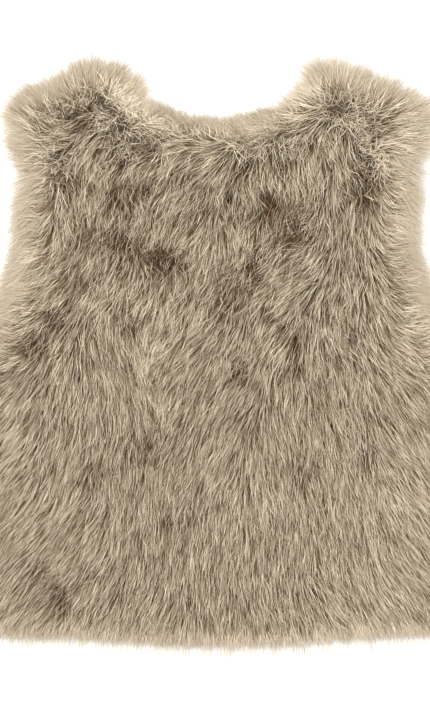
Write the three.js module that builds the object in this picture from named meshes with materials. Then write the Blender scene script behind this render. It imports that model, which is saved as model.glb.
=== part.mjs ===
// Child's faux fur vest, laid flat with its back up: one back panel over two fronts.
// Millimetres. X runs across the back, Y from hem to shoulder, Z up from the table.
// Each panel is a wall of fur cloth, backing and pile together, out to the tips of the pile.

import * as THREE from "three";
import { mergeVertices } from "three/addons/utils/BufferGeometryUtils.js";

// Cut of the cloth, on the fold of the centre back
const HEM_HALF = 194; // half the hem
const CHEST_HALF = 171; // half the width at the underarm
const ARMHOLE_HALF = 118; // half the back between the armholes
const SHOULDER_TIP = 127; // centre to the end of the shoulder seam
const NECK_HALF = 79; // centre to the neck end of the shoulder seam
const HEM_LEVEL = -193.3; // lowest point of the hem, at the centre back
const UNDERARM_LEVEL = -38;
const SHOULDER_LEVEL = 186.7; // neck end of the shoulder seam
const SHOULDER_DROP = 26; // fall of the shoulder seam to its tip
const BACK_NECK_DROP = 41;
const FRONT_NECK_DROP = 70;

// Layers, from the table up
const FRONT_LOFT = 11; // the fronts, their pile pressed down by the weight on it
const BACK_LOFT = 17; // backing and combed pile of the back
const EDGE_SAG = 4; // how much lower the two layers meet at the outer edge
const SAG_WIDTH = 45;
const EDGE_RISE = 3; // the pressed pile curls up off the table at the edge
const RISE_WIDTH = 14;
const EDGE_LIP = 2.6; // thickness left at the very tips of the pile
const PILE_ROUND = 30; // how far in from the tips the pile reaches its full height
const SEAM_GAP = 0.3;

// Where the back lies beyond the front neckline it drops to the table
const DROP_START = 7;
const DROP_WIDTH = 17;
const DROP_CLEAR = 1.4;

const TUFT = 1.3; // unevenness of the outline, where the pile ends in tufts
const EDGE_LINES = [0, 0.009, 0.024, 0.046, 0.077]; // grid lines close to each edge, as shares

// Half outlines. out: from the centre line. up: along the back. fur: how far the pile
// reaches past the cloth. front: the same on the fronts, where it differs.
const HEM_EDGE = [
  { out: 0, up: HEM_LEVEL, fur: 14 },
  { out: 62, up: HEM_LEVEL + 1, fur: 13 },
  { out: 128, up: HEM_LEVEL + 6, fur: 14 },
  { out: 178, up: HEM_LEVEL + 12, fur: 14 },
  { out: HEM_HALF, up: HEM_LEVEL + 20, fur: 15 },
];
const SIDE_EDGE = [
  { out: HEM_HALF - 3, up: HEM_LEVEL + 45, fur: 14 },
  { out: 184, up: -90, fur: 14 },
  { out: 177, up: -58, fur: 14 },
  { out: CHEST_HALF, up: UNDERARM_LEVEL, fur: 18 },
  { out: 162, up: UNDERARM_LEVEL + 10, fur: 23, front: 26 },
  { out: 149, up: -12, fur: 25, front: 29 },
  { out: 136, up: 14, fur: 25, front: 30 },
  { out: 126, up: 46, fur: 25, front: 29 },
  { out: ARMHOLE_HALF, up: 86, fur: 25 },
  { out: ARMHOLE_HALF, up: 120, fur: 25 },
  { out: 122, up: 145, fur: 24 },
  { out: SHOULDER_TIP, up: SHOULDER_LEVEL - SHOULDER_DROP, fur: 22 },
];
const SHOULDER_EDGE = [
  { out: 116, up: SHOULDER_LEVEL - 17, fur: 22 },
  { out: 97, up: SHOULDER_LEVEL - 5, fur: 20 },
  { out: NECK_HALF, up: SHOULDER_LEVEL, fur: 20 },
];
const BACK_NECK = [
  { out: 68, up: SHOULDER_LEVEL - 14, fur: 19 },
  { out: 55, up: SHOULDER_LEVEL - 28, fur: 19 },
  { out: 35, up: SHOULDER_LEVEL - 37, fur: 20 },
  { out: 0, up: SHOULDER_LEVEL - BACK_NECK_DROP, fur: 19 },
];
const FRONT_NECK = [
  { out: 72, up: SHOULDER_LEVEL - 20, fur: 18 },
  { out: 62, up: SHOULDER_LEVEL - 44, fur: 17 },
  { out: 42, up: SHOULDER_LEVEL - 61, fur: 17 },
  { out: 0, up: SHOULDER_LEVEL - FRONT_NECK_DROP, fur: 17 },
];
const HEM_CORNER = HEM_EDGE.length - 1;
const TIP_CORNER = HEM_CORNER + SIDE_EDGE.length;

// The cloth lies a little uneven. x, y: middle. dx, dy: how far it lies over. round: reach.
const LIES_OVER = [
  { x: -58, y: 186, dx: 4.5, dy: 1, round: 26 },
  { x: 148, y: 140, dx: 3, dy: 0, round: 36 },
  { x: 130, y: 186, dx: 1.5, dy: 2, round: 24 },
];

// Partings and dents in the pile of the back. x, y: middle. long, wide: half sizes.
// turn: degrees from the X axis. deep: depth.
const DENTS = [
  { x: -101, y: 168, long: 17, wide: 7, turn: 20, deep: 4.0 },
  { x: 98, y: 166, long: 20, wide: 7, turn: -28, deep: 3.5 },
  { x: -58, y: 113, long: 22, wide: 9, turn: 4, deep: 4.0 },
  { x: -62, y: 68, long: 38, wide: 13, turn: -22, deep: 4.0 },
  { x: 45, y: 98, long: 22, wide: 13, turn: -50, deep: 4.0 },
  { x: 27, y: 50, long: 24, wide: 8, turn: 84, deep: 3.0 },
  { x: 99, y: 113, long: 18, wide: 13, turn: 35, deep: 4.5 },
  { x: -110, y: 22, long: 12, wide: 9, turn: -30, deep: 3.0 },
  { x: -128, y: 3, long: 18, wide: 8, turn: 15, deep: 3.5 },
  { x: -58, y: 18, long: 10, wide: 10, turn: 0, deep: 2.0 },
  { x: 17, y: -14, long: 15, wide: 8, turn: 75, deep: 2.5 },
  { x: 59, y: -85, long: 11, wide: 9, turn: 0, deep: 2.5 },
  { x: -50, y: -62, long: 20, wide: 10, turn: 8, deep: 1.8 },
  { x: -112, y: -163, long: 24, wide: 8, turn: -50, deep: 2.8 },
  { x: 104, y: -68, long: 13, wide: 8, turn: -15, deep: 2.0 },
];

// Soft swells between them
const SWELLS = [
  { x: 0, y: 128, long: 60, wide: 18, turn: 0, deep: 1.6 },
  { x: -45, y: -10, long: 36, wide: 17, turn: 62, deep: 1.4 },
  { x: 116, y: -20, long: 30, wide: 14, turn: 70, deep: 1.6 },
  { x: 118, y: -100, long: 40, wide: 20, turn: 70, deep: 1.4 },
  { x: -125, y: -80, long: 34, wide: 20, turn: 110, deep: 1.2 },
  { x: 10, y: -140, long: 80, wide: 26, turn: 0, deep: 1.0 },
];

function laid(point) {
  const moved = point.clone();
  for (const { x, y, dx, dy, round } of LIES_OVER) {
    const share = Math.exp(-((point.x - x) ** 2 + (point.y - y) ** 2) / round ** 2);
    moved.add(new THREE.Vector2(dx * share, dy * share));
  }
  return moved;
}

// One closed outline through the half rows and their mirror image. at(t) gives the tips
// of the pile, with t from 0 at the centre of the hem, and row i of n at i / (2n - 2).
function pileOutline(rows, isFront) {
  const mirrored = rows.slice(1, -1).reverse().map((row) => ({ ...row, out: -row.out }));
  const all = [...rows, ...mirrored];
  const cut = new THREE.CatmullRomCurve3(
    all.map((row) => new THREE.Vector3(row.out, row.up, 0)), true, "centripetal");
  const reach = all.map((row) => (isFront && row.front) || row.fur);
  const at = (share) => {
    const t = share - Math.floor(share);
    const point = cut.getPoint(t);
    const along = cut.getTangent(t);
    const place = t * all.length;
    const row = Math.floor(place) % all.length;
    const pile = THREE.MathUtils.lerp(reach[row], reach[(row + 1) % all.length], place % 1);
    const turn = 2 * Math.PI * t;
    const tuft = TUFT * (Math.sin(17 * turn + 1) + 0.7 * Math.sin(29 * turn + 4)) / 1.7;
    return laid(new THREE.Vector2(
      point.x + (pile + tuft) * along.y,
      point.y - (pile + tuft) * along.x));
  };
  return { at, row: (index) => index / all.length };
}

// A stretch of an outline, run through evenly by its length
function stretch(outline, from, to) {
  const steps = 240;
  const points = [];
  const lengths = [0];
  for (let i = 0; i <= steps; i += 1) {
    points.push(outline.at(THREE.MathUtils.lerp(from, to, i / steps)));
    if (i > 0) lengths.push(lengths[i - 1] + points[i].distanceTo(points[i - 1]));
  }
  return (share) => {
    const wanted = share * lengths[steps];
    let i = 1;
    while (i < steps && lengths[i] < wanted) i += 1;
    const part = (wanted - lengths[i - 1]) / (lengths[i] - lengths[i - 1]);
    return points[i - 1].clone().lerp(points[i], part);
  };
}

// Shares from 0 to 1, close together at the ends that are pile edges
function gridLines(inner, closeAtStart, closeAtEnd) {
  const start = closeAtStart ? EDGE_LINES : [0];
  const end = closeAtEnd ? EDGE_LINES.map((share) => 1 - share).reverse() : [1];
  const low = start[start.length - 1];
  const high = end[0];
  const middle = [];
  for (let i = 1; i < inner; i += 1) middle.push(THREE.MathUtils.lerp(low, high, i / inner));
  return [...start, ...middle, ...end];
}

// Points of a four-sided patch, worked out from its four edges
function patch(hem, right, top, left, across, up) {
  const corners = [hem(0), hem(1), top(0), top(1)];
  return up.map((v) => across.map((u) => {
    const point = new THREE.Vector2();
    point.addScaledVector(hem(u), 1 - v).addScaledVector(top(u), v);
    point.addScaledVector(left(v), 1 - u).addScaledVector(right(v), u);
    point.addScaledVector(corners[0], -(1 - u) * (1 - v));
    point.addScaledVector(corners[1], -u * (1 - v));
    point.addScaledVector(corners[2], -(1 - u) * v);
    point.addScaledVector(corners[3], -u * v);
    return point;
  }));
}

function polyline(outline, from, to, count) {
  const points = [];
  for (let i = 0; i <= count; i += 1) {
    points.push(outline.at(THREE.MathUtils.lerp(from, to, i / count)));
  }
  return points;
}

function distanceTo(points, x, y) {
  let best = Infinity;
  for (let i = 1; i < points.length; i += 1) {
    const a = points[i - 1];
    const b = points[i];
    const dx = b.x - a.x;
    const dy = b.y - a.y;
    const share = ((x - a.x) * dx + (y - a.y) * dy) / (dx * dx + dy * dy);
    const held = THREE.MathUtils.clamp(share, 0, 1);
    best = Math.min(best, Math.hypot(x - a.x - held * dx, y - a.y - held * dy));
  }
  return best;
}

function isInside(points, x, y) {
  let inside = false;
  for (let i = 1; i < points.length; i += 1) {
    const a = points[i - 1];
    const b = points[i];
    const crosses = (a.y > y) !== (b.y > y);
    if (crosses && x < a.x + (b.x - a.x) * (y - a.y) / (b.y - a.y)) inside = !inside;
  }
  return inside;
}

// Quarter round: 0 at the edge, 1 from `width` inwards
function quarterRound(distance, width) {
  const left = 1 - Math.min(distance / width, 1);
  return Math.sqrt(1 - left * left);
}

function relief(rows, x, y) {
  let sum = 0;
  for (const { x: midX, y: midY, long, wide, turn, deep } of rows) {
    const angle = THREE.MathUtils.degToRad(turn);
    const along = (x - midX) * Math.cos(angle) + (y - midY) * Math.sin(angle);
    const beside = (y - midY) * Math.cos(angle) - (x - midX) * Math.sin(angle);
    sum += deep * Math.exp(-((along / long) ** 2) - (beside / wide) ** 2);
  }
  return sum;
}

const backRows = [...HEM_EDGE, ...SIDE_EDGE, ...SHOULDER_EDGE, ...BACK_NECK];
const frontRows = [...HEM_EDGE, ...SIDE_EDGE, ...SHOULDER_EDGE, ...FRONT_NECK];
const backOutline = pileOutline(backRows, false);
const frontOutline = pileOutline(frontRows, true);
const backEdge = polyline(backOutline, 0, 1, 360);
const frontEdge = polyline(frontOutline, 0, 1, 360);

// Height at which the back and the fronts meet
function meeting(x, y) {
  const inside = isInside(backEdge, x, y) ? distanceTo(backEdge, x, y) : 0;
  const edge = 1 - Math.min(inside / SAG_WIDTH, 1);
  return FRONT_LOFT - EDGE_SAG * edge * edge;
}

// How far the back drops where no front lies under it
function neckDrop(x, y) {
  if (isInside(frontEdge, x, y)) return 0;
  const past = distanceTo(frontEdge, x, y) - DROP_START;
  const share = THREE.MathUtils.smoothstep(past, 0, DROP_WIDTH);
  return share * (meeting(x, y) - DROP_CLEAR);
}

function backUnder(x, y) {
  return meeting(x, y) + SEAM_GAP / 2 - neckDrop(x, y);
}

function backTop(x, y) {
  const round = quarterRound(distanceTo(backEdge, x, y), PILE_ROUND);
  const uneven = relief(SWELLS, x, y) - relief(DENTS, x, y);
  return backUnder(x, y) + EDGE_LIP + round * (BACK_LOFT - EDGE_LIP + uneven);
}

function frontUnder(x, y) {
  return EDGE_RISE * (1 - quarterRound(distanceTo(frontEdge, x, y), RISE_WIDTH));
}

function frontTop(x, y) {
  return meeting(x, y) - SEAM_GAP / 2;
}

// A closed wall between two heights over a grid of points
function wallGeometry(grid, under, over) {
  const rows = grid.length;
  const columns = grid[0].length;
  const place = [];
  for (const height of [under, over]) {
    for (const line of grid) {
      for (const { x, y } of line) place.push(x, y, height(x, y));
    }
  }
  const low = (row, column) => row * columns + column;
  const high = (row, column) => low(row, column) + rows * columns;
  const index = [];
  for (let row = 1; row < rows; row += 1) {
    for (let column = 1; column < columns; column += 1) {
      const quad = [[row - 1, column - 1], [row - 1, column], [row, column], [row, column - 1]];
      const [a, b, c, d] = quad.map(([r, k]) => high(r, k));
      index.push(a, b, c, a, c, d);
      const [e, f, g, h] = quad.map(([r, k]) => low(r, k));
      index.push(e, g, f, e, h, g);
    }
  }
  const rim = [];
  for (let column = 0; column < columns - 1; column += 1) rim.push([0, column]);
  for (let row = 0; row < rows - 1; row += 1) rim.push([row, columns - 1]);
  for (let column = columns - 1; column > 0; column -= 1) rim.push([rows - 1, column]);
  for (let row = rows - 1; row > 0; row -= 1) rim.push([row, 0]);
  rim.forEach(([row, column], i) => {
    const [nextRow, nextColumn] = rim[(i + 1) % rim.length];
    const [a, b] = [low(row, column), low(nextRow, nextColumn)];
    const [c, d] = [high(nextRow, nextColumn), high(row, column)];
    index.push(a, b, c, a, c, d);
  });
  const geometry = new THREE.BufferGeometry();
  geometry.setAttribute("position", new THREE.Float32BufferAttribute(place, 3));
  geometry.setIndex(index);
  const merged = mergeVertices(geometry, 1e-4);
  merged.computeVertexNormals();
  return merged;
}

function backGrid() {
  const corner = backOutline.row(HEM_CORNER);
  const tip = backOutline.row(TIP_CORNER);
  return patch(
    stretch(backOutline, -corner, corner),
    stretch(backOutline, corner, tip),
    stretch(backOutline, 1 - tip, tip),
    stretch(backOutline, 1 - corner, 1 - tip),
    gridLines(28, true, true),
    gridLines(26, true, true));
}

// One front, from the centre front out to its side: 1 the right one, -1 the left one
function frontGrid(side) {
  const half = side > 0 ? frontOutline : { at: (share) => frontOutline.at(1 - share) };
  const corner = frontOutline.row(HEM_CORNER);
  const tip = frontOutline.row(TIP_CORNER);
  const hemMiddle = half.at(0);
  const neckMiddle = half.at(0.5);
  const grid = patch(
    stretch(half, 0, corner),
    stretch(half, corner, tip),
    stretch(half, 0.5, tip),
    (share) => hemMiddle.clone().lerp(neckMiddle, share),
    gridLines(13, false, true),
    gridLines(24, true, true));
  for (const line of grid) {
    for (const point of line) point.x = side * Math.max(side * point.x, SEAM_GAP / 2);
    if (side < 0) line.reverse();
  }
  return grid;
}

function furCloth(colour) {
  return new THREE.MeshStandardMaterial({ color: colour, roughness: 0.92, metalness: 0 });
}

function panel(name, geometry, colour) {
  const mesh = new THREE.Mesh(geometry, furCloth(colour));
  mesh.name = name;
  return mesh;
}

const group = new THREE.Group();
group.add(panel("back_panel", wallGeometry(backGrid(), backUnder, backTop), 0x9c8c76));
group.add(panel("front_left", wallGeometry(frontGrid(-1), frontUnder, frontTop), 0x95846e));
group.add(panel("front_right", wallGeometry(frontGrid(1), frontUnder, frontTop), 0x95846e));

export default group;
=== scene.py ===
"""Faux fur vest laid flat with its back up: backing cloth, pile, fringe and studio."""

from collections import namedtuple
from math import cos, radians, sin
from types import SimpleNamespace

import bpy
import numpy as np
from bpy.props import FloatProperty, FloatVectorProperty, IntProperty, PointerProperty
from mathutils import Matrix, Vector
from mathutils.bvhtree import BVHTree
from mathutils.kdtree import KDTree


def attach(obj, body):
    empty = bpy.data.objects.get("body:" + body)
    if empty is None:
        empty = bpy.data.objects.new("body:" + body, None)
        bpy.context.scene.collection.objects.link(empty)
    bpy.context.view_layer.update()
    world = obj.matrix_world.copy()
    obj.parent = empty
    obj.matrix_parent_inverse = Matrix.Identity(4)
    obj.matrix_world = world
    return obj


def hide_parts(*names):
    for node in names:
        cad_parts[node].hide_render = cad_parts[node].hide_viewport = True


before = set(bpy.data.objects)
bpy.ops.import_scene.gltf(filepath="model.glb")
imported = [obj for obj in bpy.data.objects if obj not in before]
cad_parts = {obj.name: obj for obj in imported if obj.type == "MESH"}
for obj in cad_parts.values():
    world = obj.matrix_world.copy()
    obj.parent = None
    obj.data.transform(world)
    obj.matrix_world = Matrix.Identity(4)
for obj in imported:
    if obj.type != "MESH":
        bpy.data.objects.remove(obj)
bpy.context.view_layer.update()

bl_info = {
    "name": "Faux Fur Vest",
    "version": (1, 0, 0),
    "blender": (4, 5, 0),
    "location": "View3D > Sidebar > Vest",
    "description": "Builds the cloth and long pile of a fur vest on its packed frame",
    "category": "Add Mesh",
}

MM = 0.001

PHOTO_HIGH = 709  # height of the photo, in pixels
PIXEL = 0.70 * MM  # size of one pixel on the vest

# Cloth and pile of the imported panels, in metres
BACKING = 2.0 * MM  # thickness of the knitted backing
HEM_REACH = 14 * MM  # how far the pile stands past the cloth at the hem and side seams
ARM_REACH = 24 * MM  # the same round the armholes
TOP_REACH = 20 * MM  # the same at the shoulders
NECK_REACH = 13 * MM  # the same along the bottom of the neck, where the pile stands up
SIDE_LEVEL = -48 * MM  # below here the edge is a side seam
UNDERARM_LEVEL = -22 * MM  # above here it is an armhole
TIP_LEVEL = 160 * MM  # the shoulder tips
BAND_LEVELS = (75 * MM, -15 * MM, -105 * MM)  # between the bands of the back's pile
TOP_LEVEL = 140 * MM  # above here the fringe belongs to the shoulders and the neck
HEM_LEVEL = -150 * MM  # below here it belongs to the hem
GRID = 2 * MM  # cells of the grid on which a panel is measured
GRID_SHIFT = 0.37  # share of a cell that keeps the grid's points off the panels' corners
FLUFF = 4 * MM  # how far a fringe's highest tips stand above the solid
WANDER = 4 * MM  # how far the partings wander to either side
SPARSE = 1.7 * MM  # between the roots of the pressed pile and of the stray hairs
TINY = 1e-6  # keeps a divisor from being 0

# Sockets of a Map Range node that is set to vectors
RANGE_VALUE, RANGE_LEAST, RANGE_MOST = 6, 9, 10
RANGE_RESULT = 1

Nap = namedtuple("Nap", "x y turn size", defaults=(17,))
# Which way the pile lies on the back. x, y: place in mm. turn: degrees from straight
# down the back, plus towards the wearer's right. size: how far the row counts, in mm.
NAP = tuple(Nap(*row) for row in (
    (-87, 197, -172, 12), (-119, 183, -145, 12), (-137, 168, -130, 10), (-139, 152, -120, 9),
    (-138, 138, -118, 9), (-136, 122, -120, 9), (-136, 108, -112, 8), (-136, 94, -80, 9),
    (-135, 80, -70, 10), (-104, 178, -158, 9), (-92, 184, -172, 8), (-108, 162, -112, 8),
    (-98, 181, -165, 7), (-119, 173, -140, 7), (-98, 168, -70, 5), (-88, 172, -45, 6),
    (-115, 164, -115, 7), (-98, 160, -15, 5), (-108, 149, -85, 7), (-118, 138, -105, 7),
    (-104, 137, 34, 6), (-110, 129, 32, 6), (-98, 124, 32, 8), (-116, 119, 10, 7),
    (-92, 134, 14, 8), (-104, 112, 20, 9), (-88, 114, 10, 9), (-114, 98, 10, 9), (-98, 96, 12, 10),
    (-84, 150, -36, 9), (-72, 146, -38, 9), (-82, 164, -36, 7), (-73, 164, -30, 6),
    (-66, 152, -32, 7), (-80, 186, 155, 7), (-74, 178, 140, 6), (-66, 190, 120, 8),
    (-74, 200, 150, 9), (-60, 180, 150, 7), (-50, 182, 168, 7), (-62, 169, 140, 6),
    (-52, 171, 168, 6), (-62, 159, 104, 5), (-53, 159, 84, 6), (-43, 156, 64, 6),
    (-42, 168, -168, 7), (-50, 147, -48, 7), (-38, 146, -44, 7), (-30, 160, -155, 9),
    (-21, 148, -95, 7), (-4, 146, -84, 7), (-4, 160, -158, 9), (16, 148, -40, 7), (18, 162, 180, 9),
    (35, 147, -20, 8), (44, 162, -140, 9), (60, 160, -60, 7), (60, 177, -108, 9),
    (70, 188, -120, 8), (82, 188, -122, 6), (78, 202, -150, 8), (92, 202, -165, 9),
    (96, 188, 158, 7), (106, 186, 150, 8), (119, 177, 132, 9), (133, 160, 106, 10),
    (90, 180, 168, 5), (98, 176, 150, 5), (105, 174, 145, 6), (115, 167, 128, 6),
    (126, 160, 104, 7), (76, 176, -120, 6), (75, 164, -55, 6), (84, 168, -30, 5), (92, 167, 50, 5),
    (100, 162, 60, 5), (84, 158, -8, 7), (94, 150, -6, 7), (109, 154, 96, 5), (118, 151, 92, 5),
    (103, 142, 140, 5), (110, 146, 126, 5), (120, 145, 112, 6), (130, 146, 66, 7),
    (107, 131, -2, 6), (118, 131, -12, 6), (100, 131, 4, 6), (127, 132, 20, 6), (138, 134, 60, 8),
    (136, 120, 50, 8), (126, 116, 40, 7), (116, 107, 24, 8), (138, 106, 84, 8), (127, 102, 56, 7),
    (138, 92, 80, 9), (138, 78, 72, 11), (-74, 129, -23), (-46, 129, -38), (-12, 132, -48),
    (24, 132, -12), (60, 132, 4), (84, 135, 4, 12), (-60, 111, -15), (-25, 108, -33), (6, 111, -20),
    (31, 111, 8), (66, 108, -10), (95, 108, 10, 12), (-101, 83, 0, 12), (-66, 87, -8),
    (-28, 90, -24), (7, 87, -2), (42, 83, -24), (70, 80, -36), (101, 83, -2), (122, 83, 40),
    (-108, 55, -36), (-80, 59, -20), (-56, 52, 0), (-28, 52, -26), (7, 55, -22), (60, 55, -34),
    (94, 52, -5), (126, 52, 46), (-140, 31, -60), (-119, 34, -42), (-87, 24, -10), (-45, 24, -25),
    (-7, 24, -28), (45, 20, -38), (73, 17, 4), (101, 24, 10), (133, 24, 60), (-143, -4, -58),
    (-122, 0, -25), (-77, 0, 14), (-31, -4, -26), (7, -8, -30), (38, -4, -26), (73, -4, 5),
    (105, -4, 18), (136, -4, 46), (-143, -39, -34), (-101, -39, -8), (-59, -39, 0), (-17, -42, -24),
    (5, -42, -34), (52, -39, 6), (94, -39, 13), (136, -39, 33), (-143, -81, -38), (-108, -78, -20),
    (-59, -77, -4), (-4, -70, -20), (46, -74, 6), (94, -78, 5), (136, -74, 30), (-136, -130, -38),
    (-94, -130, -31), (-52, -130, -10), (-4, -130, -9), (52, -130, 2), (94, -130, 12),
    (136, -123, 34), (-136, -179, -36), (-87, -179, -27), (-45, -179, -20), (-4, -179, -2),
    (38, -179, 11), (87, -179, 30), (136, -179, 36), (-185, -90, -44), (-192, -170, -42),
    (185, -90, 42), (192, -170, 42),
))

Dent = namedtuple("Dent", "x y long wide turn deep")
# Partings where the pile opens to its dark roots and its locks are painted darker, as
# painted shade. x, y: middle in mm. long, wide: half sizes in mm. turn: degrees from the
# X axis. deep: 0 to 1.
DENTS = tuple(Dent(*row) for row in (
    (-104, 172, 17, 6, 18, 0.9), (103, 167, 20, 3, -32, 0.8), (92, 180, 18, 8, -12, 0.55),
    (-48, 114, 7, 6, 0, 1.0), (-66, 110, 12, 7, 10, 0.7), (-104, 114, 5, 8, 0, 0.5),
    (-60, 145, 6, 5, 0, 0.5), (-38, 64, 18, 10, -12, 1.0), (-64, 76, 20, 9, -25, 0.8),
    (-90, 85, 12, 8, 0, 0.5), (38, 104, 8, 8, 0, 1.0), (55, 86, 9, 15, -20, 0.8),
    (28, 55, 7, 15, -12, 0.9), (104, 116, 7, 13, 20, 1.0), (-59, 147, 9, 4, -25, 0.7),
    (-65, 157, 4, 4, 0, 0.7), (13, 44, 12, 20, 10, 0.4), (-110, 24, 10, 7, -30, 0.8),
    (-128, 5, 13, 6, 15, 0.9), (-59, 18, 7, 7, 0, 0.7), (17, -10, 6, 10, -20, 0.7),
    (59, 16, 8, 6, 0, 0.3), (95, 12, 7, 8, 0, 0.6), (60, -80, 9, 6, 0, 0.5),
    (-48, -64, 12, 10, 0, 0.5), (-86, -82, 10, 12, 0, 0.4), (-120, -152, 8, 7, 0, 0.7),
    (-109, -170, 7, 12, 25, 0.8), (106, -68, 10, 6, -15, 0.5), (-150, -18, 6, 9, 0, 0.6),
    (0, 100, 22, 6, 0, 0.35), (-30, -110, 10, 8, 0, 0.3), (60, 175, 8, 6, -20, 0.3),
    (-91, 184, 12, 7, 45, 0.45),
))

PaintedShading = namedtuple("PaintedShading", "x y long wide turn lift")
# Painted shading: stretches where the pile's strands are painted paler as painted light, or
# darker as painted shade where lift is below 0. x, y: middle in mm. long, wide: half sizes
# in mm. turn: degrees from the X axis.
PAINTED_SHADING = tuple(PaintedShading(*row) for row in (
    (116, -11, 9, 22, -15, 0.16), (119, -95, 22, 45, 10, 0.20), (-42, 5, 9, 24, 12, 0.12),
    (-59, 98, 14, 12, 0, 0.10), (-88, 150, 14, 8, 10, 0.08), (60, 60, 18, 20, -30, 0.06),
    (20, -110, 30, 50, 0, 0.06), (108, 152, 15, 12, -20, 0.08), (-125, -120, 24, 40, 20, 0.06),
    (120, -160, 44, 34, 0, 0.13), (-56, 184, 15, 9, -45, 0.24), (-56, 172, 26, 13, -10, 0.22),
    (-4, 140, 18, 10, 0, 0.25), (34, 142, 16, 9, 10, -0.20), (76, 158, 11, 9, 0, 0.36),
    (-18, 157, 18, 8, -10, 0.20), (-40, 170, 10, 10, 0, 0.22), (110, 140, 12, 11, 0, 0.40),
    (-60, 122, 13, 9, 0, -0.30), (46, 104, 28, 10, 0, -0.26), (92, 90, 10, 9, 0, -0.14),
    (-68, 88, 12, 9, 0, -0.14), (-26, 72, 10, 10, 0, -0.12), (26, 72, 10, 10, 0, -0.16),
    (14, 118, 10, 9, 0, 0.10), (-10, 122, 22, 12, 0, 0.14), (110, 92, 8, 8, 0, 0.12),
    (-80, 98, 26, 22, 0, -0.20), (38, 102, 22, 14, 0, -0.20), (-45, 68, 28, 12, -12, -0.16),
    (-105, 122, 12, 12, 0, -0.14), (50, 70, 20, 16, 0, -0.10), (-128, 40, 10, 22, 0, 0.12),
    (-140, -40, 13, 24, 0, 0.20), (60, -4, 9, 12, 0, 0.18), (110, 14, 7, 20, 0, 0.12),
    (-130, -180, 20, 10, 0, 0.14), (0, -200, 150, 10, 0, 0.14), (145, -76, 10, 34, 0, 0.22),
    (95, -95, 38, 26, 0, 0.09), (44, -113, 8, 8, 0, -0.12), (-108, 156, 8, 8, 0, -0.12),
    (-58, 38, 9, 9, 0, -0.10), (-75, -12, 9, 9, 0, -0.10), (-8, -46, 9, 9, 0, -0.12),
    (-92, -147, 9, 8, 0, -0.16), (-124, 172, 9, 8, 0, 0.14), (-48, 180, 14, 12, -40, 0.16),
    (-72, 172, 13, 13, 0, 0.18), (119, 144, 12, 12, 0, 0.26), (9, 88, 12, 10, 0, 0.14),
    (76, 4, 9, 9, 0, 0.14), (60, -98, 9, 7, 0, 0.12), (26, -64, 10, 9, 0, 0.10),
    (110, 70, 10, 62, 0, 0.08), (-109, 84, 8, 60, 0, 0.06), (24, 38, 30, 14, 0, -0.04),
))

Tuft = namedtuple("Tuft", "x y size more")
# Stretches of the edge where the fringe stands out further, or less where more is below 0,
# as a share of its length. x, y: middle in mm. size: how far it counts, in mm.
TUFTS = tuple(Tuft(*row) for row in (
    (-56, 192, 12, -0.40), (58, 194, 9, -0.28), (-80, 206, 12, -0.08), (74, 208, 7, 0.30),
    (-150, 174, 9, 0.02), (-150, 153, 9, -0.26), (-150, 140, 9, -0.18), (118, 193, 15, -0.30),
    (150, 182, 9, 0.40), (50, 180, 10, -0.10), (10, 166, 10, 0.12), (-36, 176, 12, -0.14),
    (-115, 196, 10, -0.14),
))

# Limits and kinds that settings share
LENGTH = {"subtype": "DISTANCE", "unit": "LENGTH"}
COLOUR = {"min": 0, "max": 1, "size": 3, "subtype": "COLOR"}


class PileSettings(bpy.types.PropertyGroup):
    """Sizes and colours of the pile"""

    length: FloatProperty(
        name="Pile Length", description="Length of a hair on the back",
        default=25 * MM, min=5 * MM, max=60 * MM, **LENGTH)
    fringe_length: FloatProperty(
        name="Fringe Length", description="Length of a hair at the panels' edges",
        default=26 * MM, min=5 * MM, max=60 * MM, **LENGTH)
    fibre: FloatProperty(
        name="Fibre Width", description="Width of one strand of fibres near its root",
        default=0.50 * MM, min=0.1 * MM, max=2 * MM, **LENGTH)
    spacing: FloatProperty(
        name="Root Spacing", description="Distance between the roots of the strands",
        default=1.06 * MM, min=0.5 * MM, max=5 * MM, **LENGTH)
    lock: FloatProperty(
        name="Lock Size", description="Distance between the locks that strands gather in",
        default=2.2 * MM, min=1 * MM, max=20 * MM, **LENGTH)
    gather: FloatProperty(
        name="Gather", description="How closely a lock's tips come together",
        default=0.85, min=0, max=1, subtype="FACTOR")
    seed: IntProperty(
        name="Seed", description="Start of the random draws", default=7, min=0)
    root_colour: FloatVectorProperty(
        name="Root Colour", description="Colour of the pile at its root",
        default=(0.026, 0.017, 0.009), **COLOUR)
    middle_colour: FloatVectorProperty(
        name="Middle Colour", description="Colour half way up the pile",
        default=(0.237, 0.176, 0.111), **COLOUR)
    tip_colour: FloatVectorProperty(
        name="Tip Colour", description="Colour of the tips",
        default=(0.70, 0.608, 0.472), **COLOUR)


class ClothSettings(bpy.types.PropertyGroup):
    """Sizes and colour of the knitted backing"""

    cell: FloatProperty(
        name="Grid Cell", description="Size of the backing's faces",
        default=5 * MM, min=2 * MM, max=20 * MM, **LENGTH)
    colour: FloatVectorProperty(
        name="Backing Colour", description="Colour of the knitted backing",
        default=(0.12, 0.088, 0.06), **COLOUR)


class StudioSettings(bpy.types.PropertyGroup):
    """Camera, floor and lights"""

    lens: FloatProperty(
        name="Lens", description="Focal length in millimetres",
        default=200, min=50, max=400)
    floor_colour: FloatVectorProperty(
        name="Floor Colour", description="Colour of the surface under the vest",
        default=(0.93, 0.93, 0.93), **COLOUR)
    sky: FloatProperty(
        name="Sky", description="Strength of the even light from all round",
        default=0.72, min=0, max=5)
    key: FloatProperty(
        name="Key Light", description="Power of the large soft lamp",
        default=92, min=0, max=500, unit="POWER")


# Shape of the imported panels, read from the frame


def ease(share):
    """0 at 0 and 1 at 1, with a soft start and end"""
    return share * share * (3 - 2 * share)


def smooth(value, low, high):
    """0 below low, 1 above high, and a soft step between"""
    return ease(np.clip((value - low) / (high - low), 0, 1))


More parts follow.
